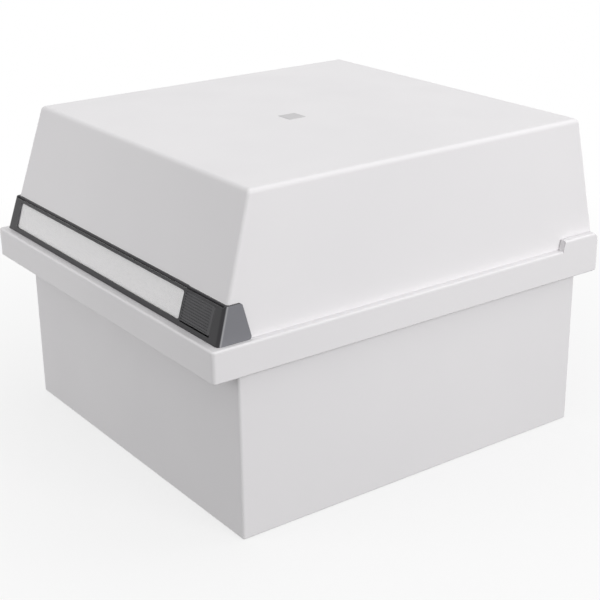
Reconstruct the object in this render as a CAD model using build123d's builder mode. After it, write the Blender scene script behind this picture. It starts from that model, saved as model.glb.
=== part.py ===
from build123d import *
from math import atan2, cos, sin, tan
import os

os.makedirs("parts", exist_ok=True)

# Overall sizes in millimetres. +Z is up, the label faces -Y, the origin lies under the middle of the rim.
rim_width = 234.0
rim_depth = 257.0
rim_top = 108.4
rim_height = 16.8
box_height = 178.9

# Tray
tray_side_setback = 5.75
tray_front_setback = 17.5
tray_rear_setback = 11.7
tray_wall = 2.6
tray_floor = 3.0
tray_corner = 1.4
foot_ring_width = 8.0
foot_ring_height = 1.0
foot_edge = 0.8
rim_wall = 2.6
rim_corner = 1.8
rim_edge_radius = 1.2
rim_lower_edge = 0.6
rim_rear_bevel_run = 2.0
rim_rear_bevel_rise = 3.5
lip_wall = 1.2
lip_height = 3.0
runner_setback = 33.65
runner_width = 4.0
runner_height = 5.6
runner_end_gap = 9.0

# Hinge
hinge_rise = 2.0
barrel_radius = 3.6
barrel_proud = 0.5
trough_gap = 0.5
knuckle_radius = 3.2
knuckle_width = 10.0
knuckle_setback = 48.0
knuckle_gap = 0.4
knuckle_notch_height = 8.5
ear_length = 28.0
ear_height = 5.6
ear_gap = 0.1
ear_front_run = 1.6
ear_end_wall = 1.4
ear_slope_run = 3.0
ear_slope_drop = 4.2
rod_radius = 1.5
rod_seat_gap = 0.02
rod_running_gap = 0.05

# Lid
lid_gap = 0.05
lid_side_setback = 4.0
lid_front_setback = 6.7
lid_rear_setback = 0.8
lid_top_side_setback = 9.85
lid_top_front_setback = 28.9
lid_top_rear_setback = 11.4
lid_wall = 2.5
lid_roof = 2.6
lid_corner = 1.6
lid_inner_corner = 2.0
lid_top_radius = 2.8
badge_size = 11.0
badge_thickness = 1.0
badge_recess = 0.8
badge_x = 5.0
badge_y = -2.0

# Label holder on the front of the lid, with its card and clear film
holder_height = 18.6
holder_proud = 2.0
holder_corner = 2.4
cheek_proud = 1.2
cheek_bottom_length = 19.6
cheek_top_length = 9.5
cheek_corner = 1.6
band_height = 0.25
frame_drop = 0.7
seam_web = 0.45
seam_end_wall = 1.2
pocket_depth = 2.6
pocket_wall = 2.2
pocket_setback = 4.5
pocket_catch_gap = 0.9
slot_back = 0.6
slot_depth = 0.9
slot_floor = 1.0
slot_left_margin = 1.0
slot_right_margin = 0.5
window_setback = 9.4
window_catch_gap = 1.15
window_bottom = 2.2
window_height = 14.6
window_corner = 1.4
card_thickness = 0.3
film_thickness = 0.4
film_gap = 0.05
label_gap = 0.1
label_end_gap = 0.3
label_height = 16.8
peg_radius = 2.0
peg_end_gap = 16.45
peg_count = 3
peg_length = 3.2

# Lid catch behind the ribbed thumb pad
catch_setback = 20.8
pad_width = 26.2
pad_height = 14.4
pad_bottom = 2.6
pad_thickness = 1.7
pad_corner = 0.8
pad_gap = 0.15
pad_bottom_gap = 0.85
groove_pitch = 1.4
groove_width = 0.7
groove_depth = 0.35
groove_count = 10
groove_left_gap = 0.4
groove_right_gap = 2.0
pivot_height = 14.5
pivot_depth = 4.8
stem_width = 12.2
stem_radius = 2.2
lug_gap = 0.4
lug_thickness = 3.0
lug_radius = 2.4
lug_height = 8.0
catch_pin_radius = 1.0
catch_pin_seat_gap = 0.02
catch_pin_running_gap = 0.05
catch_pin_inset = 0.2
hook_width = 11.0
hook_thickness = 2.2
hook_setback = 12.2
hook_knee_rise = 2.4
hook_drop = 2.3
nose_reach = 1.5
nose_gap = 0.5
nose_land = 0.6
catch_slot_front_gap = 0.5
catch_slot_rear_gap = 3.0
catch_slot_side_gap = 0.6
leaf_thickness = 0.4
leaf_width = 6.0
leaf_depth = 3.4
leaf_seat = 2.8
leaf_knee = 4.1
leaf_length = 9.5
leaf_tip_gap = 0.1
leaf_fit_gap = 0.05

# Card follower on the floor rail
follower_gap = 0.3
follower_foot_length = 40.0
follower_foot_width = 36.0
follower_foot_height = 10.0
follower_foot_corner = 3.0
follower_floor_gap = 0.5
plate_thickness = 1.2
plate_side_gap = 10.65
plate_rise = 112.0
plate_setback = 20.0
plate_flange = 26.0
plate_corner = 16.0
plate_notch_radius = 24.0
plate_notch_rise = 10.0
rail_width = 16.0
rail_thickness = 1.5
rail_rise = 3.4
rail_flange = 12.0
rail_front_gap = 2.6
rail_rear_gap = 2.4
rail_slot_width = 7.0
rail_slot_length = 3.0
rail_slot_end_gap = 12.8
rail_slot_count = 23
rivet_radius = 1.5
rivet_gap = 0.05
rivet_head_radius = 2.8
rivet_head_height = 1.1
rivet_tail_radius = 2.4
rivet_tail_height = 0.7
plate_rivet_spacing = 25.0
plate_rivet_length = 5.0

# How far cutting shapes run past the faces that they cut
overrun = 4.0

# Places worked out from the sizes above
rim_bottom = rim_top - rim_height
rim_front = -rim_depth / 2
rim_rear = rim_depth / 2
tray_width = rim_width - 2 * tray_side_setback
tray_front = rim_front + tray_front_setback
tray_rear = rim_rear - tray_rear_setback
tray_depth = tray_rear - tray_front
tray_y = (tray_rear + tray_front) / 2
tray_inner_width = tray_width - 2 * tray_wall
tray_inner_front = tray_front + tray_wall
tray_inner_rear = tray_rear - tray_wall
tray_inner_depth = tray_inner_rear - tray_inner_front
runner_spacing = tray_inner_width - 2 * runner_setback
floor_top = foot_ring_height + tray_floor
lid_base = rim_top + lid_gap
lid_height = box_height - lid_base
lid_width = rim_width - 2 * lid_side_setback
front_lean = atan2(lid_top_front_setback - lid_front_setback, lid_height)
rear_lean = atan2(lid_top_rear_setback - lid_rear_setback, lid_height)
side_lean = atan2(lid_top_side_setback - lid_side_setback, lid_height)


def lid_front(z):
    """Y of the lid's outer front face at a height."""
    return rim_front + lid_front_setback + (z - lid_base) * tan(front_lean)


def lid_rear(z):
    """Y of the lid's outer rear face at a height."""
    return rim_rear - lid_rear_setback - (z - lid_base) * tan(rear_lean)


def lid_side(z):
    """X of the lid's outer right face at a height."""
    return lid_width / 2 - (z - lid_base) * tan(side_lean)


def across_front(depth):
    """Level run of a depth that is measured square to the lid's front face."""
    return depth / cos(front_lean)


hinge_z = rim_top + hinge_rise
hinge_y = lid_rear(hinge_z) - (barrel_radius - barrel_proud) / cos(rear_lean)
trough_z = hinge_z - barrel_radius - trough_gap
trough_front = hinge_y - barrel_radius - trough_gap
ear_inner = lid_width / 2 + ear_gap
ear_top = rim_top + ear_height
ear_front = rim_rear - ear_length
rod_right = rim_width / 2 - ear_end_wall
rod_left = -rim_width / 2
barrel_half = lid_side(hinge_z) - lid_wall / 2
knuckle_spacing = lid_width - 2 * knuckle_setback

# Plane of the lid's front face: local X runs along the box, local Y climbs the slope, Z points outwards
front_plane = Plane((0, lid_front(lid_base), lid_base), x_dir=(1, 0, 0),
                    z_dir=(0, -cos(front_lean), sin(front_lean)))
# Planes of the other leaning sides, each pointing outwards
rear_plane = Plane((0, lid_rear(lid_base), lid_base), x_dir=(-1, 0, 0),
                   z_dir=(0, cos(rear_lean), sin(rear_lean)))
right_plane = Plane((lid_side(lid_base), 0, lid_base), x_dir=(0, 1, 0),
                    z_dir=(cos(side_lean), 0, sin(side_lean)))
left_plane = Plane((-lid_side(lid_base), 0, lid_base), x_dir=(0, -1, 0),
                   z_dir=(-cos(side_lean), 0, sin(side_lean)))
lid_planes = (front_plane, rear_plane, right_plane, left_plane)
# The same slope seen from the right end: local X climbs the slope, local Y points outwards
slope_plane = Plane((0, lid_front(lid_base), lid_base),
                    x_dir=(0, sin(front_lean), cos(front_lean)), z_dir=(1, 0, 0))

holder_top = lid_base + holder_height
band_top = holder_top + band_height
frame_top = holder_top - frame_drop
catch_x = lid_width / 2 - catch_setback
catch_opening_width = pad_width + 2 * pad_gap
catch_opening_left = catch_x - catch_opening_width / 2
pocket_left = pocket_setback - lid_width / 2
pocket_right = catch_opening_left - pocket_catch_gap
window_left = window_setback - lid_width / 2
window_right = catch_opening_left - window_catch_gap
window_width = window_right - window_left
slot_left = window_left - slot_left_margin
slot_right = window_right + slot_right_margin
slot_width = slot_right - slot_left
slot_x = (slot_left + slot_right) / 2
peg_pitch = (slot_width - 2 * peg_end_gap) / (peg_count - 1)
slope_top = holder_height / cos(front_lean)
label_width = slot_width - 2 * label_end_gap
label_s = slot_floor + label_end_gap + label_height / 2

pad_back = holder_proud - pad_thickness
pad_s = pad_bottom + pad_height / 2
groove_length = pad_width - groove_left_gap - groove_right_gap
groove_x = catch_x + (groove_left_gap - groove_right_gap) / 2
catch_opening_bottom = pad_bottom - pad_bottom_gap
catch_opening_top = pad_bottom + pad_height + pad_gap
catch_opening_height = catch_opening_top - catch_opening_bottom
catch_opening_s = (catch_opening_top + catch_opening_bottom) / 2
seam_floor = catch_opening_top + seam_web
seam_half = lid_side(holder_top) + cheek_proud - seam_end_wall
pivot_y = lid_front(lid_base) + pivot_height * sin(front_lean) + pivot_depth * cos(front_lean)
pivot_z = lid_base + pivot_height * cos(front_lean) - pivot_depth * sin(front_lean)
hook_front = rim_front + hook_setback
hook_rear = hook_front + hook_thickness
hook_knee_z = lid_base + hook_knee_rise
nose_top = rim_top - rim_wall - nose_gap
hook_bottom = nose_top - hook_drop
catch_slot_front = hook_front - catch_slot_front_gap
catch_slot_rear = hook_rear + catch_slot_rear_gap
leaf_bottom_s = pivot_height + stem_radius - leaf_seat
leaf_knee_s = pivot_height + leaf_knee
leaf_top_s = pivot_height + leaf_length

rail_under = floor_top + rail_rise
rail_top = rail_under + rail_thickness
rail_front_leg = tray_inner_front + rail_front_gap + rail_flange + rail_thickness
rail_rear_leg = tray_inner_rear - rail_rear_gap - rail_flange - rail_thickness
follower_rear = rail_rear_leg - follower_gap
follower_rest = follower_rear - follower_foot_length
plate_width = tray_inner_width - 2 * plate_side_gap
rail_mid = (rail_rear_leg + rail_front_leg) / 2
rail_slot_pitch = (rail_rear_leg - rail_front_leg - 2 * rail_slot_end_gap) / (rail_slot_count - 1)
rail_rivet_spacing = rail_rear_leg - rail_front_leg + 2 * rail_thickness + rail_flange
follower_foot_top = floor_top + follower_floor_gap + follower_foot_height
plate_lean = atan2(plate_setback, plate_rise)


# Outer form of the rim collar, with softened edges
with BuildPart() as rim_form:
    with BuildSketch(Plane((0, 0, rim_bottom))):
        RectangleRounded(rim_width, rim_depth, rim_corner)
    extrude(amount=rim_height)
    fillet(rim_form.faces().sort_by(Axis.Z)[-1].edges(), rim_edge_radius)
    chamfer(rim_form.faces().sort_by(Axis.Z)[0].edges(), rim_lower_edge)

# Tray: upright walls, a collar open from below, hinge ears, card runners on the floor
with BuildPart() as tray:
    with BuildSketch(Plane((0, tray_y, 0))):
        RectangleRounded(tray_width, tray_depth, tray_corner)
    extrude(amount=rim_top)
    chamfer(tray.faces().sort_by(Axis.Z)[0].edges(), foot_edge)
    add(rim_form.part)
    with BuildSketch(Plane((0, 0, rim_bottom))):
        RectangleRounded(rim_width - 2 * rim_wall, rim_depth - 2 * rim_wall, rim_corner)
        with Locations((0, tray_y)):
            RectangleRounded(tray_width, tray_depth, tray_corner, mode=Mode.SUBTRACT)
    extrude(amount=rim_height - rim_wall, mode=Mode.SUBTRACT)
    # Lowered rear ledge that makes room for the lid's hinge barrel
    rear_ledge_y = (rim_rear + tray_rear) / 2
    with BuildSketch(Plane((0, 0, trough_z - rim_wall))):
        with Locations((0, rear_ledge_y)):
            Rectangle(rim_width - rim_wall, tray_rear_setback - rim_wall / 2)
    extrude(amount=rim_top - trough_z + rim_wall - rim_edge_radius)
    with BuildSketch(Plane((0, 0, trough_z))):
        with Locations((0, trough_front + rim_depth / 2)):
            Rectangle(2 * ear_inner, rim_depth)
    extrude(amount=rim_height, mode=Mode.SUBTRACT)
    # Ears at the rear corners, slanted at both ends, and the bevel under the rear rim
    with BuildSketch(Plane((0, 0, rim_top - rim_edge_radius))):
        RectangleRounded(rim_width, rim_depth, rim_corner)
        Rectangle(2 * ear_inner, rim_depth + overrun, mode=Mode.SUBTRACT)
        with Locations((0, -ear_length)):
            Rectangle(rim_width + overrun, rim_depth, mode=Mode.SUBTRACT)
    extrude(amount=ear_height + rim_edge_radius)
    with BuildSketch(Plane.YZ):
        with BuildLine():
            Polyline((rim_rear - ear_slope_run, ear_top), (rim_rear - ear_slope_run, ear_top + overrun),
                     (rim_rear + overrun, ear_top + overrun), (rim_rear + overrun, ear_top - ear_slope_drop),
                     (rim_rear, ear_top - ear_slope_drop), close=True)
        make_face()
        with BuildLine():
            Polyline((ear_front, rim_top), (ear_front + ear_front_run, ear_top),
                     (ear_front + ear_front_run, ear_top + overrun),
                     (ear_front - overrun, ear_top + overrun), (ear_front - overrun, rim_top), close=True)
        make_face()
        with BuildLine():
            Polyline((rim_rear - rim_rear_bevel_run, rim_bottom),
                     (rim_rear, rim_bottom + rim_rear_bevel_rise),
                     (rim_rear + overrun, rim_bottom + rim_rear_bevel_rise),
                     (rim_rear + overrun, rim_bottom - overrun),
                     (rim_rear - rim_rear_bevel_run, rim_bottom - overrun), close=True)
        make_face()
    extrude(amount=rim_width, both=True, mode=Mode.SUBTRACT)
    ear_top_edges = tray.edges().filter_by(Axis.Y).group_by(Axis.Z)[-1].sort_by(Axis.X)
    fillet((ear_top_edges[0], ear_top_edges[-1]), rim_edge_radius)
    # Knuckles that carry the hinge rod between the ears
    for side in (-1, 1):
        with BuildSketch(Plane.YZ.offset((side * knuckle_spacing - knuckle_width) / 2)):
            with Locations((hinge_y, hinge_z)):
                Circle(knuckle_radius)
            with Locations((hinge_y, (hinge_z + trough_z - rim_wall / 2) / 2)):
                Rectangle(2 * knuckle_radius, hinge_z - trough_z + rim_wall / 2)
        extrude(amount=knuckle_width)
    with BuildSketch(Plane.YZ.offset(rod_right)):
        with Locations((hinge_y, hinge_z)):
            Circle(rod_radius + rod_seat_gap)
    extrude(amount=rod_left - rod_right - overrun, mode=Mode.SUBTRACT)
    # Dust lip, then the hollow that leaves it standing
    with BuildSketch(Plane((0, tray_y, rim_top))):
        RectangleRounded(tray_inner_width + 2 * lip_wall, tray_inner_depth + 2 * lip_wall, tray_corner)
    extrude(amount=lip_height)
    with BuildSketch(Plane((0, tray_y, floor_top))):
        RectangleRounded(tray_inner_width, tray_inner_depth, tray_corner)
    extrude(amount=box_height, mode=Mode.SUBTRACT)
    with BuildSketch(Plane((0, tray_y, 0))):
        RectangleRounded(tray_width - 2 * foot_ring_width, tray_depth - 2 * foot_ring_width, tray_corner)
    extrude(amount=foot_ring_height, mode=Mode.SUBTRACT)
    # Runners that hold the cards level with the floor rail
    with BuildSketch(Plane((0, tray_y, foot_ring_height + tray_floor / 2))):
        with GridLocations(runner_spacing, 0, 2, 1):
            SlotOverall(tray_inner_depth - 2 * runner_end_gap, runner_width, rotation=90)
    extrude(amount=runner_height + tray_floor / 2)
    # Slot in the front ledge for the catch hook, and the rivet holes of the rail
    with BuildSketch(Plane((catch_x, (catch_slot_front + catch_slot_rear) / 2, rim_top))):
        Rectangle(hook_width + 2 * catch_slot_side_gap, catch_slot_rear - catch_slot_front)
    extrude(amount=-rim_wall - overrun, mode=Mode.SUBTRACT)
    with BuildSketch(Plane((0, rail_mid, 0))):
        with GridLocations(0, rail_rivet_spacing, 1, 2):
            Circle(rivet_radius + rivet_gap)
    extrude(amount=floor_top + overrun, mode=Mode.SUBTRACT)
tray.part.label = "tray"
export_step(tray.part, "parts/tray.step")

# Steel rod that the lid turns on
with BuildPart() as hinge_rod:
    with BuildSketch(Plane.YZ.offset(rod_left)):
        with Locations((hinge_y, hinge_z)):
            Circle(rod_radius)
    extrude(amount=rod_right - rod_left)
hinge_rod.part.label = "hinge_rod"
export_step(hinge_rod.part, "parts/hinge_rod.step")

# Slotted steel rail, bent down to a flange at each end
with BuildPart() as floor_rail:
    front_end = rail_front_leg - rail_thickness - rail_flange
    rear_end = rail_rear_leg + rail_thickness + rail_flange
    flange_top = floor_top + rail_thickness
    with BuildSketch(Plane.YZ):
        with BuildLine():
            Polyline((front_end, floor_top), (rail_front_leg, floor_top), (rail_front_leg, rail_under),
                     (rail_rear_leg, rail_under), (rail_rear_leg, floor_top), (rear_end, floor_top),
                     (rear_end, flange_top), (rail_rear_leg + rail_thickness, flange_top),
                     (rail_rear_leg + rail_thickness, rail_top), (rail_front_leg - rail_thickness, rail_top),
                     (rail_front_leg - rail_thickness, flange_top), (front_end, flange_top), close=True)
        make_face()
    extrude(amount=rail_width / 2, both=True)
    with BuildSketch(Plane((0, rail_mid, rail_top))):
        with GridLocations(0, rail_slot_pitch, 1, rail_slot_count):
            Rectangle(rail_slot_width, rail_slot_length)
    extrude(amount=-rail_thickness - rail_rise / 2, mode=Mode.SUBTRACT)
    with BuildSketch(Plane((0, rail_mid, floor_top))):
        with GridLocations(0, rail_rivet_spacing, 1, 2):
            Circle(rivet_radius + rivet_gap)
    extrude(amount=rail_thickness + overrun, mode=Mode.SUBTRACT)
floor_rail.part.label = "floor_rail"
export_step(floor_rail.part, "parts/floor_rail.step")

# Two rivets that hold the rail to the tray floor
with BuildPart() as rail_rivets:
    with BuildSketch(Plane((0, rail_mid, foot_ring_height - rivet_tail_height))):
        with GridLocations(0, rail_rivet_spacing, 1, 2):
            Circle(rivet_tail_radius)
    extrude(amount=rivet_tail_height)
    with BuildSketch(Plane((0, rail_mid, foot_ring_height))):
        with GridLocations(0, rail_rivet_spacing, 1, 2):
            Circle(rivet_radius)
    extrude(amount=tray_floor + rail_thickness)
    with BuildSketch(Plane((0, rail_mid, flange_top))):
        with GridLocations(0, rail_rivet_spacing, 1, 2):
            Circle(rivet_head_radius)
    extrude(amount=rivet_head_height)
    chamfer(rail_rivets.edges().group_by(Axis.Z)[-1], rivet_head_height / 2)
rail_rivets.part.label = "rail_rivets"
export_step(rail_rivets.part, "parts/rail_rivets.step")

# Outer form of the lid: four leaning sides with rounded corners and a softened roof edge
with BuildPart() as lid_outer:
    with BuildSketch(Plane((0, 0, lid_base - overrun))):
        Rectangle(rim_width + 2 * overrun, rim_depth + 2 * overrun)
    extrude(amount=lid_height + overrun)
    for lid_plane in lid_planes:
        split(bisect_by=lid_plane, keep=Keep.BOTTOM)
    fillet(lid_outer.faces().sort_by(Axis.Z)[-1].edges(), lid_top_radius)
    # The four leaning edges follow the four edges of the bottom
    fillet(lid_outer.edges().sort_by(Axis.Z)[4:8], lid_corner)

# Hollow of the lid
with BuildPart() as lid_inner:
    with BuildSketch(Plane((0, 0, lid_base - overrun))):
        Rectangle(rim_width + 2 * overrun, rim_depth + 2 * overrun)
    extrude(amount=lid_height + overrun - lid_roof)
    for lid_plane in lid_planes:
        split(bisect_by=lid_plane.offset(-lid_wall), keep=Keep.BOTTOM)
    inner_level_edges = lid_inner.edges().group_by(Axis.Z)
    fillet(lid_inner.edges() - inner_level_edges[0], lid_inner_corner)

# Wall behind the pocket of the label holder, running into the lid's left side
front_run = across_front(lid_wall)
backing_run = across_front(pocket_depth + pocket_wall)
backing_top = band_top + pocket_wall
with BuildPart() as pocket_backing:
    with BuildSketch(Plane.YZ.offset(pocket_right + pocket_wall)):
        with BuildLine():
            Polyline((lid_front(lid_base) + front_run / 2, lid_base),
                     (lid_front(lid_base) + backing_run, lid_base),
                     (lid_front(backing_top) + backing_run, backing_top),
                     (lid_front(backing_top) + front_run / 2, backing_top), close=True)
        make_face()
    extrude(amount=-rim_width)
    split(bisect_by=left_plane.offset(-lid_wall / 2), keep=Keep.BOTTOM)

# Lid: shell with a hinge barrel, a pocket for the label holder and an opening for the catch
with BuildPart() as lid:
    add(lid_outer.part)
    add(lid_inner.part, mode=Mode.SUBTRACT)
    split(bisect_by=Plane((0, 0, lid_base)), keep=Keep.TOP)
    # Hinge barrel along the lower rear edge
    with BuildSketch(Plane((0, hinge_y, lid_base - overrun))):
        with Locations((0, rim_depth / 2)):
            Rectangle(rim_width, rim_depth)
    extrude(amount=hinge_z - lid_base + overrun, mode=Mode.SUBTRACT)
    with BuildSketch(Plane.YZ.offset(-barrel_half)):
        with Locations((hinge_y, hinge_z)):
            Circle(barrel_radius)
    extrude(amount=2 * barrel_half)
    with BuildSketch(Plane.YZ):
        with Locations((hinge_y, hinge_z)):
            Circle(rod_radius + rod_running_gap)
    extrude(amount=rim_width / 2, both=True, mode=Mode.SUBTRACT)
    with BuildSketch(Plane((0, trough_front + rim_depth / 2, trough_z))):
        with GridLocations(knuckle_spacing, 0, 2, 1):
            Rectangle(knuckle_width + 2 * knuckle_gap, rim_depth)
    extrude(amount=hinge_z + knuckle_notch_height - trough_z, mode=Mode.SUBTRACT)
    # Pocket for the back of the label holder
    add(pocket_backing.part)
    pocket_start = lid_base - overrun
    pocket_run = across_front(pocket_depth)
    with BuildSketch(Plane.YZ.offset(pocket_left)):
        with BuildLine():
            Polyline((lid_front(pocket_start) - overrun, pocket_start),
                     (lid_front(pocket_start) + pocket_run, pocket_start),
                     (lid_front(band_top) + pocket_run, band_top), (lid_front(band_top) - overrun, band_top),
                     close=True)
        make_face()
    extrude(amount=pocket_right - pocket_left, mode=Mode.SUBTRACT)
    with BuildSketch(front_plane.offset(-pocket_depth)):
        with Locations((slot_x, slope_top / 2)):
            with GridLocations(peg_pitch, 0, peg_count, 1):
                Circle(peg_radius + rivet_gap)
    extrude(amount=-pocket_wall - overrun, mode=Mode.SUBTRACT)
    # Lugs that carry the catch pin, then the opening for the catch
    for side in (-1, 1):
        lug_x = catch_x + side * (stem_width / 2 + lug_gap + lug_thickness / 2) - lug_thickness / 2
        with BuildSketch(slope_plane.offset(lug_x)):
            with Locations((pivot_height, -pivot_depth)):
                Circle(lug_radius)
            with Locations((pivot_height + lug_height / 2, -(pivot_depth + lug_radius + lid_wall / 2) / 2)):
                Rectangle(lug_height, pivot_depth + lug_radius - lid_wall / 2)
        extrude(amount=lug_thickness)
    with BuildSketch(front_plane.offset(overrun)):
        with Locations((catch_x, catch_opening_s)):
            Rectangle(catch_opening_width, catch_opening_height)
    extrude(amount=-overrun - lid_wall - rivet_gap, mode=Mode.SUBTRACT)
    with BuildSketch(slope_plane.offset(catch_x)):
        with Locations((pivot_height, -pivot_depth)):
            Circle(catch_pin_radius + catch_pin_seat_gap)
    extrude(amount=stem_width / 2 + lug_gap + lug_thickness, both=True, mode=Mode.SUBTRACT)
    # Recess for the bare square badge
    with BuildSketch(Plane((badge_x, badge_y, box_height))):
        Rectangle(badge_size + 2 * rivet_gap, badge_size + 2 * rivet_gap)
    extrude(amount=-badge_recess, mode=Mode.SUBTRACT)
lid.part.label = "lid"
export_step(lid.part, "parts/lid.step")

# Bare square badge set into the roof of the lid
with BuildPart() as lid_badge:
    with BuildSketch(Plane((badge_x, badge_y, box_height - badge_recess))):
        Rectangle(badge_size, badge_size)
    extrude(amount=badge_thickness)
    fillet(lid_badge.faces().sort_by(Axis.Z)[-1].edges(), badge_thickness - badge_recess)
lid_badge.part.label = "lid_badge"
export_step(lid_badge.part, "parts/lid_badge.step")

# Label holder: a strip that wraps the lower front of the lid and ends in a cheek on each side
with BuildPart() as label_holder:
    proud_run = across_front(holder_proud)
    with BuildSketch(Plane((0, 0, lid_base))):
        Rectangle(rim_width + 2 * overrun, rim_depth + 2 * overrun)
    extrude(amount=holder_height)
    split(bisect_by=front_plane.offset(holder_proud), keep=Keep.BOTTOM)
    for lid_plane in (right_plane, left_plane):
        split(bisect_by=lid_plane.offset(cheek_proud), keep=Keep.BOTTOM)
    holder_level_edges = label_holder.edges().group_by(Axis.Z)
    corner_edges = label_holder.edges() - holder_level_edges[0] - holder_level_edges[-1]
    fillet(corner_edges.sort_by(Axis.Y)[:2], holder_corner)
    with BuildSketch(Plane.YZ) as cheek_outline:
        with BuildLine():
            Polyline((lid_front(lid_base) - overrun, lid_base),
                     (lid_front(lid_base) - proud_run + cheek_bottom_length, lid_base),
                     (lid_front(holder_top) - proud_run + cheek_top_length, holder_top),
                     (lid_front(lid_base) - overrun, holder_top), close=True)
        make_face()
        fillet(cheek_outline.vertices().sort_by(Axis.X)[-2:], cheek_corner)
    extrude(amount=rim_width, both=True, mode=Mode.INTERSECT)
    add(lid_outer.part, mode=Mode.SUBTRACT)
    # Back of the holder in the lid's pocket, standing a little taller than the strip
    back_run = across_front(pocket_depth - rivet_gap)
    step_run = across_front(slot_back)
    with BuildSketch(Plane.YZ.offset(pocket_left + rivet_gap)):
        with BuildLine():
            Polyline((lid_front(lid_base) - step_run, lid_base), (lid_front(lid_base) + back_run, lid_base),
                     (lid_front(band_top) + back_run, band_top), (lid_front(band_top) - step_run, band_top),
                     close=True)
        make_face()
    extrude(amount=pocket_right - pocket_left - 2 * rivet_gap)
    with BuildSketch(front_plane.offset(-pocket_depth / 2)):
        with Locations((slot_x, slope_top / 2)):
            with GridLocations(peg_pitch, 0, peg_count, 1):
                Circle(peg_radius)
    extrude(amount=-pocket_depth / 2 - peg_length)
    # Front skin lower than the back, with a seam between them along the whole strip
    with BuildSketch(Plane.YZ):
        with BuildLine():
            Polyline((lid_front(frame_top) - step_run, frame_top),
                     (lid_front(frame_top) - step_run - overrun, frame_top),
                     (lid_front(frame_top) - step_run - overrun, band_top + overrun),
                     (lid_front(band_top + overrun) - step_run, band_top + overrun), close=True)
        make_face()
    extrude(amount=seam_half, both=True, mode=Mode.SUBTRACT)
    with BuildSketch(front_plane.offset(slot_back)):
        with Locations((0, seam_floor + slope_top / 2)):
            Rectangle(2 * seam_half, slope_top)
    extrude(amount=slot_depth, mode=Mode.SUBTRACT)
    # Slot that the label drops into, its window, and the opening for the thumb pad
    with BuildSketch(front_plane.offset(slot_back)):
        with Locations((slot_x, slot_floor + slope_top / 2)):
            Rectangle(slot_width, slope_top)
    extrude(amount=slot_depth, mode=Mode.SUBTRACT)
    with BuildSketch(front_plane.offset(slot_back)):
        with Locations(((window_left + window_right) / 2, window_bottom + window_height / 2)):
            RectangleRounded(window_width, window_height, window_corner)
    extrude(amount=holder_proud + overrun, mode=Mode.SUBTRACT)
    with BuildSketch(front_plane.offset(-overrun)):
        with Locations((catch_x, catch_opening_s)):
            Rectangle(catch_opening_width, catch_opening_height)
    extrude(amount=holder_proud + 2 * overrun, mode=Mode.SUBTRACT)
label_holder.part.label = "label_holder"
export_step(label_holder.part, "parts/label_holder.step")

# Blank label card and the clear film in front of it
with BuildPart() as label_card:
    with BuildSketch(front_plane.offset(slot_back + label_gap)):
        with Locations((slot_x, label_s)):
            Rectangle(label_width, label_height)
    extrude(amount=card_thickness)
label_card.part.label = "label_card"
export_step(label_card.part, "parts/label_card.step")

with BuildPart() as label_film:
    with BuildSketch(front_plane.offset(slot_back + label_gap + card_thickness + film_gap)):
        with Locations((slot_x, label_s)):
            Rectangle(label_width, label_height)
    extrude(amount=film_thickness)
label_film.part.label = "label_film"
export_step(label_film.part, "parts/label_film.step")

# Catch: ribbed thumb pad, stem with a cross bore, and an arm that ends in a hook under the front ledge
with BuildPart() as catch_button:
    with BuildSketch(front_plane.offset(pad_back)):
        with Locations((catch_x, pad_s)):
            RectangleRounded(pad_width, pad_height, pad_corner)
    extrude(amount=pad_thickness)
    with BuildSketch(front_plane.offset(holder_proud - groove_depth)):
        with Locations((groove_x, pad_s)):
            with GridLocations(0, groove_pitch, 1, groove_count):
                Rectangle(groove_length, groove_width)
    extrude(amount=groove_depth + overrun, mode=Mode.SUBTRACT)
    with BuildSketch(slope_plane.offset(catch_x)):
        with Locations((pivot_height, -pivot_depth)):
            Circle(stem_radius)
        with Locations((pivot_height, (pad_back + pad_thickness / 2 - pivot_depth) / 2)):
            Rectangle(2 * stem_radius, pivot_depth + pad_back + pad_thickness / 2)
    extrude(amount=stem_width / 2, both=True)
    with BuildSketch(Plane.YZ.offset(catch_x)):
        with BuildLine():
            Polyline((pivot_y - hook_thickness / 2, pivot_z), (hook_front, hook_knee_z),
                     (hook_front, nose_top), (hook_front - nose_reach, nose_top),
                     (hook_front - nose_reach, nose_top - nose_land),
                     (hook_front, hook_bottom), (hook_rear, hook_bottom), (hook_rear, hook_knee_z),
                     (pivot_y + hook_thickness / 2, pivot_z), close=True)
        make_face()
    extrude(amount=hook_width / 2, both=True)
    with BuildSketch(slope_plane.offset(catch_x)):
        with Locations((pivot_height, -pivot_depth)):
            Circle(catch_pin_radius + catch_pin_running_gap)
    extrude(amount=stem_width, both=True, mode=Mode.SUBTRACT)
    with BuildSketch(slope_plane.offset(catch_x)):
        with Locations((leaf_bottom_s + leaf_length / 2, leaf_thickness / 2 - leaf_depth)):
            Rectangle(leaf_length + 2 * leaf_fit_gap, leaf_thickness + 2 * leaf_fit_gap)
    extrude(amount=leaf_width / 2 + leaf_fit_gap, both=True, mode=Mode.SUBTRACT)
catch_button.part.label = "catch_button"
export_step(catch_button.part, "parts/catch_button.step")

# Steel pin of the catch
with BuildPart() as catch_pin:
    with BuildSketch(slope_plane.offset(catch_x)):
        with Locations((pivot_height, -pivot_depth)):
            Circle(catch_pin_radius)
    extrude(amount=stem_width / 2 + lug_gap + lug_thickness - catch_pin_inset, both=True)
catch_pin.part.label = "catch_pin"
export_step(catch_pin.part, "parts/catch_pin.step")

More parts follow.
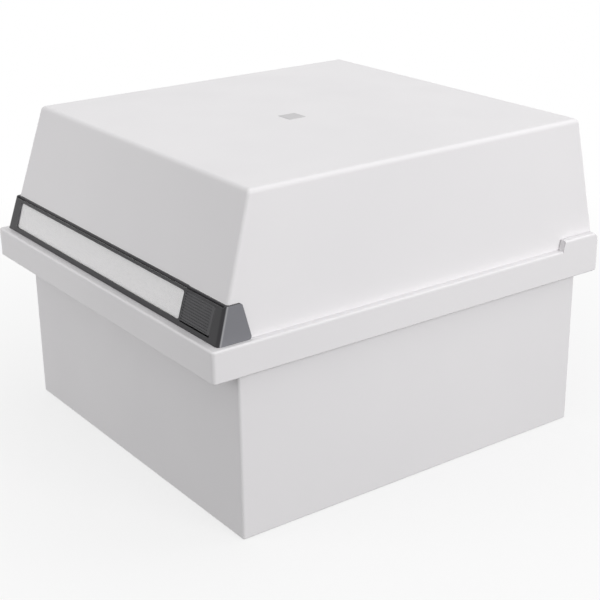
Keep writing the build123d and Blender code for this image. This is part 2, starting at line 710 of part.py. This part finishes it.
# Leaf spring that stands in the catch and presses on the inside of the lid
with BuildPart() as catch_spring:
    leaf_tip = leaf_tip_gap + lid_wall
    with BuildSketch(slope_plane.offset(catch_x)):
        with BuildLine():
            Polyline((leaf_bottom_s, -leaf_depth), (leaf_knee_s, -leaf_depth),
                     (leaf_top_s, -leaf_tip - leaf_thickness), (leaf_top_s, -leaf_tip),
                     (leaf_knee_s, leaf_thickness - leaf_depth),
                     (leaf_bottom_s, leaf_thickness - leaf_depth), close=True)
        make_face()
    extrude(amount=leaf_width / 2, both=True)
catch_spring.part.label = "catch_spring"
export_step(catch_spring.part, "parts/catch_spring.step")

# Follower foot: a block with a tunnel for the rail
with BuildPart() as follower_foot:
    with BuildSketch(Plane((0, (follower_rest + follower_rear) / 2, floor_top + follower_floor_gap))):
        RectangleRounded(follower_foot_width, follower_foot_length, follower_foot_corner)
    extrude(amount=follower_foot_height)
    with BuildSketch(Plane.XZ.offset(-follower_rest)):
        with Locations((0, (rail_under + rail_top) / 2)):
            Rectangle(rail_width + 2 * follower_gap, rail_thickness + 2 * follower_gap)
    extrude(amount=follower_foot_length, both=True, mode=Mode.SUBTRACT)
    with BuildSketch(Plane((0, follower_rest + plate_flange / 2, follower_foot_top))):
        with GridLocations(plate_rivet_spacing, 0, 2, 1):
            Circle(rivet_radius + rivet_gap)
    extrude(amount=-plate_rivet_length - rivet_gap, mode=Mode.SUBTRACT)
follower_foot.part.label = "follower_foot"
export_step(follower_foot.part, "parts/follower_foot.step")

# Bent steel plate that leans back and holds the cards upright
with BuildPart() as follower_plate:
    flange_z = follower_foot_top + plate_thickness
    sheet_start = plate_thickness * tan(plate_lean)
    sheet_end = plate_rise / cos(plate_lean)
    sheet_plane = Plane((0, follower_rest, follower_foot_top), x_dir=(1, 0, 0),
                        z_dir=(0, -cos(plate_lean), sin(plate_lean)))
    with BuildSketch(sheet_plane) as sheet_outline:
        with Locations((0, (sheet_start + sheet_end) / 2)):
            Rectangle(plate_width, sheet_end - sheet_start)
        fillet(sheet_outline.vertices().group_by(Axis.Y)[-1], plate_corner)
        with Locations((0, sheet_end + plate_notch_rise)):
            Circle(plate_notch_radius, mode=Mode.SUBTRACT)
    extrude(amount=-plate_thickness)
    with BuildSketch(Plane.YZ):
        with BuildLine():
            Polyline((follower_rest, follower_foot_top), (follower_rest + plate_flange, follower_foot_top),
                     (follower_rest + plate_flange, flange_z), (follower_rest + sheet_start, flange_z),
                     close=True)
        make_face()
    extrude(amount=follower_foot_width / 2, both=True)
    with BuildSketch(Plane((0, follower_rest + plate_flange / 2, follower_foot_top))):
        with GridLocations(plate_rivet_spacing, 0, 2, 1):
            Circle(rivet_radius + rivet_gap)
    extrude(amount=plate_thickness + rivet_head_height, mode=Mode.SUBTRACT)
follower_plate.part.label = "follower_plate"
export_step(follower_plate.part, "parts/follower_plate.step")

# Two rivets that hold the plate to its foot
with BuildPart() as follower_rivets:
    with BuildSketch(Plane((0, follower_rest + plate_flange / 2, follower_foot_top - plate_rivet_length))):
        with GridLocations(plate_rivet_spacing, 0, 2, 1):
            Circle(rivet_radius)
    extrude(amount=plate_rivet_length + plate_thickness)
    with BuildSketch(Plane((0, follower_rest + plate_flange / 2, flange_z))):
        with GridLocations(plate_rivet_spacing, 0, 2, 1):
            Circle(rivet_head_radius)
    extrude(amount=rivet_head_height)
    chamfer(follower_rivets.edges().group_by(Axis.Z)[-1], rivet_head_height / 2)
follower_rivets.part.label = "follower_rivets"
export_step(follower_rivets.part, "parts/follower_rivets.step")
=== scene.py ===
import logging
import math
from dataclasses import dataclass
from enum import Enum

import bpy
from mathutils import Matrix, Vector


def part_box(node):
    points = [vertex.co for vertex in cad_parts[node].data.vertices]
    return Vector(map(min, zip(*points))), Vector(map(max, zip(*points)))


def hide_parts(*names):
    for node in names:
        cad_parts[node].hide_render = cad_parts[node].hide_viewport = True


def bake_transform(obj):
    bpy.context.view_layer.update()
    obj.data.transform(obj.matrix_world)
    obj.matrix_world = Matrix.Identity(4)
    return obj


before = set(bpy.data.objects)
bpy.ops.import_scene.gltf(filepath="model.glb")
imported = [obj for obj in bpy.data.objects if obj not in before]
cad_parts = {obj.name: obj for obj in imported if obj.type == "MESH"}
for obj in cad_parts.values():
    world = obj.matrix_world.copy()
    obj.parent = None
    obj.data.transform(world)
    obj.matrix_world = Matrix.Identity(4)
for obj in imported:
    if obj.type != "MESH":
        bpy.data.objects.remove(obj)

LOG = logging.getLogger("index_card_box")
Colour = tuple[float, float, float]
Point = tuple[float, float, float]
Span = tuple[float, float]
Socket = bpy.types.NodeSocket
WHITE: Colour = (1.0, 1.0, 1.0)
OPAQUE = 1.0
RISING: Span = (0.0, 1.0)
FALLING: Span = (1.0, 0.0)


class Body(Enum):
    """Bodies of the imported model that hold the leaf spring."""

    CATCH = "catch"
    LID = "lid"


@dataclass(frozen=True)
class Noise:
    """Noise that runs through a piece, with the band of its values that shows.

    The scale is in waves per metre, detail counts finer layers, and stretch holds factors on X, Y and Z.
    """

    scale: float
    detail: float
    band: Span = (0.3, 0.7)
    stretch: Point = (1.0, 1.0, 1.0)


class NodeSheet:
    """Lays out the nodes of one material or of the world."""

    def __init__(self, owner: bpy.types.Material | bpy.types.World) -> None:
        """Start from an empty tree.

        Args:
            owner: Material or world that the nodes belong to.
        """
        owner.use_nodes = True
        self.tree = owner.node_tree
        self.tree.nodes.clear()

    def add(self, kind: str, **settings: object) -> bpy.types.Node:
        """Add a node.

        Args:
            kind: Type name of the node.
            settings: Attributes that are set on the node.

        Returns:
            The new node.
        """
        node = self.tree.nodes.new(kind)
        for key, value in settings.items():
            setattr(node, key, value)
        return node

    def link(self, start: Socket, end: Socket) -> None:
        """Join an output to an input."""
        self.tree.links.new(start, end)

    def remap(self, value: Socket, source: Span, target: Span) -> Socket:
        """Map one range of values to another, held at both ends.

        Args:
            value: Value to map.
            source: Range that is read.
            target: Range that is given out.

        Returns:
            The mapped value.
        """
        node = self.add("ShaderNodeMapRange")
        self.link(value, node.inputs["Value"])
        node.inputs["From Min"].default_value, node.inputs["From Max"].default_value = source
        node.inputs["To Min"].default_value, node.inputs["To Max"].default_value = target
        return node.outputs["Result"]

    def combine(self, operation: str, first: Socket, second: Socket) -> Socket:
        """Combine two values.

        Args:
            operation: What the Math node does with them.
            first: First value.
            second: Second value.

        Returns:
            The combined value.
        """
        node = self.add("ShaderNodeMath", operation=operation)
        self.link(first, node.inputs[0])
        self.link(second, node.inputs[1])
        return node.outputs["Value"]

    def blend(self, share: Socket, first: Colour | Socket, second: Colour | Socket) -> Socket:
        """Blend two colours.

        Args:
            share: Share of the second colour.
            first: First colour, or an output that gives it.
            second: Second colour, or an output that gives it.

        Returns:
            The blended colour.
        """
        node = self.add("ShaderNodeMix", data_type="RGBA")
        self.link(share, node.inputs["Factor"])
        sockets = [s for s in node.inputs if s.type == "RGBA"]
        for socket, colour in zip(sockets, (first, second)):
            if isinstance(colour, tuple):
                socket.default_value = (*colour, OPAQUE)
            else:
                self.link(colour, socket)
        return next(s for s in node.outputs if s.type == "RGBA")


class FinishSheet(NodeSheet):
    """Lays out one finish around a Principled shader, on the piece's own coordinates."""

    bevel_samples: int = 6

    def __init__(self, name: str) -> None:
        """Start a material with its shader and output.

        Args:
            name: Name of the new material.
        """
        self.material = bpy.data.materials.new(name)
        super().__init__(self.material)
        self.shader = self.add("ShaderNodeBsdfPrincipled")
        self.link(self.shader.outputs["BSDF"], self.add("ShaderNodeOutputMaterial").inputs["Surface"])
        self.coordinates = self.add("ShaderNodeTexCoord")

    def feed(self, name: str, value: Socket) -> None:
        """Join a value to one of the shader's inputs."""
        self.link(value, self.shader.inputs[name])

    def noise(self, pattern: Noise) -> Socket:
        """Add a noise that runs through the piece.

        Args:
            pattern: Scale, detail and stretch of the noise.

        Returns:
            The noise value, about 0.5 on average.
        """
        mapping = self.add("ShaderNodeMapping")
        mapping.inputs["Scale"].default_value = pattern.stretch
        self.link(self.coordinates.outputs["Object"], mapping.inputs["Vector"])
        texture = self.add("ShaderNodeTexNoise")
        texture.inputs["Scale"].default_value = pattern.scale
        texture.inputs["Detail"].default_value = pattern.detail
        self.link(mapping.outputs["Vector"], texture.inputs["Vector"])
        return texture.outputs["Fac"]

    def patches(self, pattern: Noise, target: Span = RISING) -> Socket:
        """Spread the band of a noise over a range of values."""
        return self.remap(self.noise(pattern), pattern.band, target)

    def sideways(self) -> Socket:
        """Tell how far a face looks to the left or right.

        Returns:
            0 for a face that looks along Y or Z, to 1 along X.
        """
        parts = self.add("ShaderNodeSeparateXYZ")
        self.link(self.coordinates.outputs["Normal"], parts.inputs["Vector"])
        size = self.add("ShaderNodeMath", operation="ABSOLUTE")
        self.link(parts.outputs["X"], size.inputs[0])
        return size.outputs["Value"]

    def soft_normal(self, radius: float) -> Socket:
        """Round every edge in the normals.

        Args:
            radius: Radius of the rounding, in metres.

        Returns:
            The rounded normals.
        """
        node = self.add("ShaderNodeBevel", samples=self.bevel_samples)
        node.inputs["Radius"].default_value = radius
        return node.outputs["Normal"]

    def edge_mask(self, soft_normal: Socket, reach: float) -> Socket:
        """Mark the edges, where rounded and plain normals part.

        Args:
            soft_normal: Normals with rounded edges.
            reach: Loss of alignment at which the mask is full.

        Returns:
            0 on the flats to 1 on the edges.
        """
        geometry = self.add("ShaderNodeNewGeometry")
        dot = self.add("ShaderNodeVectorMath", operation="DOT_PRODUCT")
        self.link(soft_normal, dot.inputs[0])
        self.link(geometry.outputs["Normal"], dot.inputs[1])
        return self.remap(dot.outputs["Value"], (1.0 - reach, 1.0), FALLING)

    def bump(self, height: Socket, depth: float, normal: Socket | None = None) -> Socket:
        """Turn a height into normals.

        Args:
            height: Height from 0 to 1.
            depth: What a height of 1 stands for, in metres.
            normal: Normals that the relief is laid on.

        Returns:
            The normals with the relief.
        """
        node = self.add("ShaderNodeBump")
        node.inputs["Distance"].default_value = depth
        self.link(height, node.inputs["Height"])
        if normal is not None:
            self.link(normal, node.inputs["Normal"])
        return node.outputs["Normal"]


class StageSheet(NodeSheet):
    """Lays out a floor or a world that some rays see as a white background."""

    def seen_rays(self) -> Socket:
        """Mark the rays that show the white background.

        Returns:
            1 for camera, glossy and transmission rays, else 0.
        """
        path = self.add("ShaderNodeLightPath")
        value = path.outputs["Is Camera Ray"]
        for name in ("Is Glossy Ray", "Is Transmission Ray"):
            value = self.combine("MAXIMUM", value, path.outputs[name])
        return value

    def show(self, share: Socket, first: Socket, second: Socket, output: str) -> None:
        """Mix two shaders and send the mix to an output.

        Args:
            share: Share of the second shader.
            first: First shader.
            second: Second shader.
            output: Type name of the output node.
        """
        mix = self.add("ShaderNodeMixShader")
        for start, end in zip((share, first, second), mix.inputs):
            self.link(start, end)
        self.link(mix.outputs["Shader"], self.add(output).inputs["Surface"])


@dataclass(frozen=True)
class MouldedPlastic:
    """Injection moulded plastic with fine grain, faint clouding and edges in a lighter colour, partly edge
    wear and partly a painted edge highlight.
    """

    name: str
    colour: Colour
    shade: Colour
    edge_wear_and_highlight: Colour
    roughness: Span
    edge_radius: float
    edge_reach: float = 0.35
    specular: float = 0.5
    grain: Noise = Noise(2600.0, 2.0)
    grain_depth: float = 0.00001
    clouds: Noise = Noise(7.0, 3.0, (0.35, 0.65))
    scuffs: Noise = Noise(90.0, 4.0, (0.42, 0.6))
    scuff_share: Span = (0.15, 1.0)
    handling: Noise = Noise(28.0, 4.0)

    def body(self, sheet: FinishSheet) -> Socket:
        """Lay out the clouded colour that the plastic has before wear."""
        return sheet.blend(sheet.patches(self.clouds), self.colour, self.shade)

    def material(self) -> bpy.types.Material:
        """Build the material.

        Returns:
            The finished material.
        """
        sheet = FinishSheet(self.name)
        sheet.shader.inputs["Specular IOR Level"].default_value = self.specular
        soft = sheet.soft_normal(self.edge_radius)
        scuffs = sheet.patches(self.scuffs, self.scuff_share)
        # Edges take the lighter edge colour where scuffs fall: partly wear, partly a painted edge highlight.
        wear = sheet.combine("MULTIPLY", sheet.edge_mask(soft, self.edge_reach), scuffs)
        sheet.feed("Base Color", sheet.blend(wear, self.body(sheet), self.edge_wear_and_highlight))
        sheet.feed("Roughness", sheet.patches(self.handling, self.roughness))
        sheet.feed("Normal", sheet.bump(sheet.noise(self.grain), self.grain_depth, soft))
        return sheet.material


@dataclass(frozen=True)
class EndedPlastic(MouldedPlastic):
    """Moulded plastic whose end faces are painted paler as a painted sheen, with a painted highlight line
    along their corners.
    """

    # The end colour is a painted sheen and the line colour a painted highlight, not colours of the plastic.
    end_sheen_colour: Colour = (0.2, 0.201, 0.218)
    corner_highlight_colour: Colour = (0.36, 0.36, 0.375)
    end_sheen_band: Span = (0.88, 0.99)
    highlight_start: Span = (0.8, 0.92)
    highlight_stop: Span = (0.955, 0.994)

    def body(self, sheet: FinishSheet) -> Socket:
        """Lay out the plastic's colour, the painted sheen on its end faces and the painted highlight along
        their corners.

        Args:
            sheet: Node sheet of the material.

        Returns:
            The colour before wear.
        """
        sideways = sheet.sideways()
        # Faces looking along X are painted paler as a painted sheen; normals turning from the front into
        # them get a painted highlight line.
        end_sheen = sheet.remap(sideways, self.end_sheen_band, RISING)
        start = sheet.remap(sideways, self.highlight_start, RISING)
        stop = sheet.remap(sideways, self.highlight_stop, FALLING)
        faces = sheet.blend(end_sheen, super().body(sheet), self.end_sheen_colour)
        return sheet.blend(sheet.combine("MULTIPLY", start, stop), faces, self.corner_highlight_colour)


@dataclass(frozen=True)
class BrushedSteel:
    """Steel with fine strokes along its length and duller patches."""

    name: str
    colour: Colour
    dull: Colour
    roughness: Span
    strokes: Noise
    stroke_depth: float = 0.000008
    dulling: Noise = Noise(45.0, 4.0, (0.35, 0.7))
    edge_radius: float = 0.0002
    metallic: float = 1.0

    def material(self) -> bpy.types.Material:
        """Build the material.

        Returns:
            The finished material.
        """
        sheet = FinishSheet(self.name)
        sheet.shader.inputs["Metallic"].default_value = self.metallic
        sheet.feed("Base Color", sheet.blend(sheet.patches(self.dulling), self.colour, self.dull))
        strokes = sheet.noise(self.strokes)
        sheet.feed("Roughness", sheet.remap(strokes, self.strokes.band, self.roughness))
        sheet.feed("Normal", sheet.bump(strokes, self.stroke_depth, sheet.soft_normal(self.edge_radius)))
        return sheet.material


@dataclass(frozen=True)
class PaintedSheet:
    """Sheet steel under baked paint with a faint orange peel and edges worn bare."""

    name: str
    colour: Colour
    shade: Colour
    bare: Colour
    roughness: Span
    edge_radius: float = 0.0004
    edge_reach: float = 0.3
    clouds: Noise = Noise(14.0, 3.0, (0.35, 0.65))
    chips: Noise = Noise(240.0, 4.0, (0.52, 0.6))
    handling: Noise = Noise(40.0, 3.0)
    peel: Noise = Noise(700.0, 1.0)
    peel_depth: float = 0.00002

    def material(self) -> bpy.types.Material:
        """Build the material.

        Returns:
            The finished material.
        """
        sheet = FinishSheet(self.name)
        paint = sheet.blend(sheet.patches(self.clouds), self.colour, self.shade)
        soft = sheet.soft_normal(self.edge_radius)
        wear = sheet.combine("MULTIPLY", sheet.edge_mask(soft, self.edge_reach), sheet.patches(self.chips))
        sheet.feed("Base Color", sheet.blend(wear, paint, self.bare))
        sheet.feed("Roughness", sheet.patches(self.handling, self.roughness))
        sheet.feed("Normal", sheet.bump(sheet.noise(self.peel), self.peel_depth, soft))
        return sheet.material


@dataclass(frozen=True)
class LabelPaper:
    """Uncoated card with short fibres."""

    name: str
    colour: Colour
    fleck: Colour
    fleck_band: Span = (0.4, 0.7)
    fibres: Noise = Noise(900.0, 5.0, stretch=(0.35, 1.0, 1.0))
    fibre_depth: float = 0.00002
    roughness: Span = (0.75, 0.9)

    def material(self) -> bpy.types.Material:
        """Build the material.

        Returns:
            The finished material.
        """
        sheet = FinishSheet(self.name)
        fibres = sheet.noise(self.fibres)
        flecks = sheet.remap(fibres, self.fleck_band, RISING)
        sheet.feed("Base Color", sheet.blend(flecks, self.colour, self.fleck))
        sheet.feed("Roughness", sheet.remap(fibres, self.fibres.band, self.roughness))
        sheet.feed("Normal", sheet.bump(fibres, self.fibre_depth))
        return sheet.material


@dataclass(frozen=True)
class ClearFilm:
    """Clear film that shows what lies behind it under a soft gloss."""

    name: str
    colour: Colour
    alpha: float
    roughness: Span
    tint_share: float = 0.94
    haze: Noise = Noise(60.0, 4.0)
    handling: Noise = Noise(120.0, 4.0)
    waves: Noise = Noise(30.0, 1.0)
    wave_depth: float = 0.00005

    def material(self) -> bpy.types.Material:
        """Build the material.

        Returns:
            The finished material.
        """
        sheet = FinishSheet(self.name)
        sheet.shader.inputs["Alpha"].default_value = self.alpha
        tint = tuple(self.tint_share * c for c in self.colour)
        sheet.feed("Base Color", sheet.blend(sheet.patches(self.haze), self.colour, tint))
        sheet.feed("Roughness", sheet.patches(self.handling, self.roughness))
        sheet.feed("Normal", sheet.bump(sheet.noise(self.waves), self.wave_depth))
        return sheet.material


FINE_GRAIN = Noise(3200.0, 2.0)
FINE_DEPTH = 0.000006
STROKES_ALONG_X = Noise(900.0, 3.0, stretch=(0.04, 1.0, 1.0))
STROKES_ALONG_Y = Noise(900.0, 3.0, stretch=(1.0, 0.05, 1.0))

SHELL = MouldedPlastic(
    "pale_grey_shell", (0.812, 0.797, 0.81), (0.792, 0.778, 0.792), (0.86, 0.848, 0.86),
    roughness=(0.3, 0.4), edge_radius=0.0001,
)
HOLDER = EndedPlastic(
    "dark_grey_holder", (0.032, 0.031, 0.034), (0.028, 0.027, 0.03), (0.18, 0.178, 0.19),
    roughness=(0.3, 0.38), edge_radius=0.0004, specular=0.3, grain=FINE_GRAIN, grain_depth=FINE_DEPTH,
)
CATCH = MouldedPlastic(
    "dark_grey_catch", (0.039, 0.038, 0.042), (0.035, 0.034, 0.038), (0.13, 0.13, 0.14),
    roughness=(0.34, 0.42), edge_radius=0.0003, grain=FINE_GRAIN, grain_depth=FINE_DEPTH,
)
BADGE = MouldedPlastic(
    "badge_grey", (0.55, 0.54, 0.55), (0.51, 0.5, 0.51), (0.67, 0.66, 0.67),
    roughness=(0.3, 0.4), edge_radius=0.0002,
)
ROD_STEEL = BrushedSteel(
    "rod_steel_bright", (0.62, 0.62, 0.63), (0.5, 0.5, 0.51), roughness=(0.25, 0.4), strokes=STROKES_ALONG_X,
)
RAIL_STEEL = BrushedSteel(
    "rail_steel_zinc", (0.58, 0.58, 0.6), (0.48, 0.48, 0.5), roughness=(0.28, 0.45), strokes=STROKES_ALONG_Y,
)
PLATE = PaintedSheet(
    "follower_grey_paint", (0.45, 0.45, 0.46), (0.42, 0.42, 0.43), (0.6, 0.6, 0.61), roughness=(0.4, 0.5),
)
PAPER = LabelPaper("label_white_card", (0.92, 0.91, 0.915), (0.88, 0.872, 0.877))
FILM = ClearFilm("label_clear_film", (0.95, 0.95, 0.95), alpha=0.03, roughness=(0.1, 0.2))


def dress(node: str, material: bpy.types.Material) -> None:
    """Give a node of the frame its finish.

    Args:
        node: Name of the node.
        material: Finish for all of its slots.
    """
    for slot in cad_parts[node].material_slots:
        slot.material = material
    LOG.info("dressed %s in %s", node, material.name)


@dataclass
class Tray:
    """Lower box with the hinge rod and the floor rail."""

    plastic: bpy.types.Material
    rod: bpy.types.Material
    rail: bpy.types.Material

    def build(self) -> None:
        """Dress the tray and its steel pieces."""
        dress("tray", self.plastic)
        dress("hinge_rod", self.rod)
        dress("floor_rail", self.rail)
        dress("rail_rivets", self.rod)


@dataclass
class Lid:
    """Leaning lid with its bare badge."""

    plastic: bpy.types.Material
    badge: bpy.types.Material

    def build(self) -> None:
        """Dress the lid and its badge."""
        dress("lid", self.plastic)
        dress("lid_badge", self.badge)


@dataclass
class LabelHolder:
    """Dark strip on the lid's front with its card and film."""

    plastic: bpy.types.Material
    paper: bpy.types.Material
    film: bpy.types.Material

    def build(self) -> None:
        """Dress the strip, the card and the film."""
        dress("label_holder", self.plastic)
        dress("label_card", self.paper)
        dress("label_film", self.film)


@dataclass
class ThumbCatch:
    """Ribbed thumb pad with its pin and a leaf spring that bends."""

    plastic: bpy.types.Material
    pin: bpy.types.Material
    leaf: bpy.types.Material
    leaf_foot_z: float = 0.1236
    leaf_tip_length: float = 0.0006
    leaf_cuts: int = 3
    merge_distance: float = 0.000002
    flat_angle_deg: float = 1.0

    def model_leaf(self) -> bpy.types.Object:
        """Model the leaf with enough cross lines to bend.

        Returns:
            The leaf, in the place of its node.
        """
        bpy.ops.object.select_all(action="DESELECT")
        leaf = bpy.data.objects.new("catch_leaf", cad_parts["catch_spring"].data.copy())
        bpy.context.scene.collection.objects.link(leaf)
        bpy.context.view_layer.objects.active = leaf
        leaf.select_set(True)
        bpy.ops.mesh.customdata_custom_splitnormals_clear()
        bpy.ops.object.mode_set(mode="EDIT")
        bpy.ops.mesh.select_all(action="SELECT")
        bpy.ops.mesh.remove_doubles(threshold=self.merge_distance)
        bpy.ops.mesh.dissolve_limited(angle_limit=math.radians(self.flat_angle_deg))
        bpy.ops.mesh.subdivide(number_cuts=self.leaf_cuts)
        bpy.ops.mesh.normals_make_consistent(inside=False)
        bpy.ops.object.mode_set(mode="OBJECT")
        return leaf

    def seat_leaf(self, leaf: bpy.types.Object) -> None:
        """Keep the leaf where its node stands, hide the node and give the leaf its finish; the foot and tip
        worked out here are not used.

        Args:
            leaf: Leaf in the place of its node.
        """
        low, high = (Vector(corner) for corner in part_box("catch_spring"))
        foot = (low + high) / 2
        tip = foot.copy()
        foot.z = self.leaf_foot_z
        tip.z = high.z - self.leaf_tip_length
        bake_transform(leaf)
        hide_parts("catch_spring")
        leaf.data.materials.clear()
        leaf.data.materials.append(self.leaf)
        LOG.info("modelled %s", leaf.name)

    def build(self) -> None:
        """Dress the pad, the pin and the spring, and put a finer copy of the leaf in the spring's place."""
        dress("catch_button", self.plastic)
        dress("catch_pin", self.pin)
        dress("catch_spring", self.leaf)
        self.seat_leaf(self.model_leaf())


@dataclass
class CardFollower:
    """Plate that keeps the cards upright, on its sliding foot."""

    plastic: bpy.types.Material
    paint: bpy.types.Material
    rivet: bpy.types.Material

    def build(self) -> None:
        """Dress the foot, the plate and the rivets."""
        dress("follower_foot", self.plastic)
        dress("follower_plate", self.paint)
        dress("follower_rivets", self.rivet)


@dataclass(frozen=True)
class Viewpoint:
    """Camera that sees the box from the front right, a little from above."""

    azimuth_deg: float = 54.329
    elevation_deg: float = 21.318
    roll_deg: float = -0.755
    place: Point = (0.60216, -0.42685, 0.35579)
    lens_mm: float = 81.033
    sensor_mm: float = 36.0
    nearest: float = 0.01

    def pose(self) -> Matrix:
        """Work out where the camera stands and how it is turned.

        Returns:
            The camera's place and turn in the part's frame.
        """
        turn, rise, roll = (math.radians(v) for v in (self.azimuth_deg, self.elevation_deg, self.roll_deg))
        back = Vector((math.sin(turn) * math.cos(rise), -math.cos(turn) * math.cos(rise), math.sin(rise)))
        level = Vector((math.cos(turn), math.sin(turn), 0.0))
        upright = back.cross(level)
        right = math.cos(roll) * level + math.sin(roll) * upright
        top = math.cos(roll) * upright - math.sin(roll) * level
        turned = Matrix((right, top, back)).transposed().to_4x4()
        return Matrix.Translation(self.place) @ turned

    def set_up(self) -> None:
        """Add the camera and make it the scene's own."""
        camera = bpy.data.objects.new("view", bpy.data.cameras.new("view"))
        camera.data.sensor_width = self.sensor_mm
        camera.data.lens = self.lens_mm
        camera.data.clip_start = self.nearest
        camera.matrix_world = self.pose()
        bpy.context.scene.collection.objects.link(camera)
        bpy.context.scene.camera = camera


@dataclass(frozen=True)
class Softbox:
    """Rectangular studio lamp that points at the box.

    The level is what a white surface at the target sends back when it faces the lamp.
    A mirrored lamp shows in reflections.
    """

    name: str
    place: Point
    size: Span
    level: float
    mirrored: bool = False
    target: Point = (0.0, 0.0, 0.09)

    def hang(self) -> None:
        """Add the lamp, with the power that gives its level at this distance."""
        reach = Vector(self.target) - Vector(self.place)
        lamp = bpy.data.lights.new(self.name, "AREA")
        lamp.shape = "RECTANGLE"
        lamp.size, lamp.size_y = self.size
        lamp.energy = self.level * math.pi ** 2 * reach.length_squared
        holder = bpy.data.objects.new(self.name, lamp)
        holder.location = self.place
        holder.rotation_euler = reach.to_track_quat("-Z", "Y").to_euler()
        holder.visible_camera = False
        holder.visible_glossy = self.mirrored
        bpy.context.scene.collection.objects.link(holder)


@dataclass(frozen=True)
class Studio:
    """White studio: floor, world light, lamps and camera."""

    ambient: float = 0.54
    backdrop: float = 1.0
    floor_width: float = 12.0
    floor_colour: Colour = (0.8, 0.8, 0.8)
    bounce_colour: Colour = (0.16, 0.16, 0.16)
    floor_glow: Span = (0.72, 1.0)
    glow_reach: Span = (0.16, 0.5)
    viewpoint: Viewpoint = Viewpoint()
    lamps: tuple[Softbox, ...] = (
        Softbox("overhead", (0.3, 1.0, 1.4), (1.2, 1.2), 0.19, mirrored=True),
        Softbox("right_side", (1.35, 0.2, 0.56), (0.8, 0.8), 0.525),
        Softbox("front_fill", (-0.4, -1.05, 0.38), (0.7, 0.5), 0.265),
        Softbox("left_side", (-1.4, 0.4, 0.6), (1.0, 1.0), 0.22),
    )

    def set_world(self) -> None:
        """Light the box from all round, before a white background."""
        world = bpy.data.worlds.new("studio")
        sheet = StageSheet(world)
        skies = []
        for strength in (self.ambient, self.backdrop):
            sky = sheet.add("ShaderNodeBackground")
            sky.inputs["Color"].default_value = (*WHITE, OPAQUE)
            sky.inputs["Strength"].default_value = strength
            skies.append(sky.outputs["Background"])
        sheet.show(sheet.seen_rays(), *skies, "ShaderNodeOutputWorld")
        bpy.context.scene.world = world

    def floor_finish(self) -> bpy.types.Material:
        """Make a floor that looks white, whiter away from the box, and sends little light back onto it.

        Returns:
            The finished material.
        """
        material = bpy.data.materials.new("floor_white")
        sheet = StageSheet(material)
        seen = sheet.seen_rays()
        matt = sheet.add("ShaderNodeBsdfDiffuse")
        sheet.link(sheet.blend(seen, self.bounce_colour, self.floor_colour), matt.inputs["Color"])
        glow = sheet.add("ShaderNodeEmission")
        glow.inputs["Strength"].default_value = self.backdrop
        away = sheet.add("ShaderNodeVectorMath", operation="LENGTH")
        sheet.link(sheet.add("ShaderNodeTexCoord").outputs["Object"], away.inputs[0])
        spread = sheet.remap(away.outputs["Value"], self.glow_reach, self.floor_glow)
        share = sheet.combine("MULTIPLY", seen, spread)
        sheet.show(share, matt.outputs["BSDF"], glow.outputs["Emission"], "ShaderNodeOutputMaterial")
        return material

    def lay_floor(self) -> None:
        """Lay the pale floor under the box."""
        bpy.ops.object.select_all(action="DESELECT")
        bpy.ops.mesh.primitive_plane_add(size=self.floor_width, location=(0.0, 0.0, 0.0))
        floor = bpy.context.object
        floor.name = "floor"
        floor.data.materials.append(self.floor_finish())

    def build(self) -> None:
        """Set the view transform, the world, the floor, the lamps and the camera."""
        bpy.context.scene.view_settings.view_transform = "Standard"
        self.set_world()
        self.lay_floor()
        for lamp in self.lamps:
            lamp.hang()
        self.viewpoint.set_up()
        LOG.info("studio ready with %d lamps", len(self.lamps))


def main() -> None:
    """Dress the frame, make the leaf spring and light the box."""
    logging.basicConfig(level=logging.INFO, format="%(name)s: %(message)s")
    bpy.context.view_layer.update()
    shell, catch, badge = SHELL.material(), CATCH.material(), BADGE.material()
    rod, rail = ROD_STEEL.material(), RAIL_STEEL.material()
    Tray(shell, rod, rail).build()
    Lid(shell, badge).build()
    LabelHolder(HOLDER.material(), PAPER.material(), FILM.material()).build()
    ThumbCatch(catch, rod, rail).build()
    CardFollower(catch, PLATE.material(), rod).build()
    Studio().build()


if __name__ == "__main__":
    main()
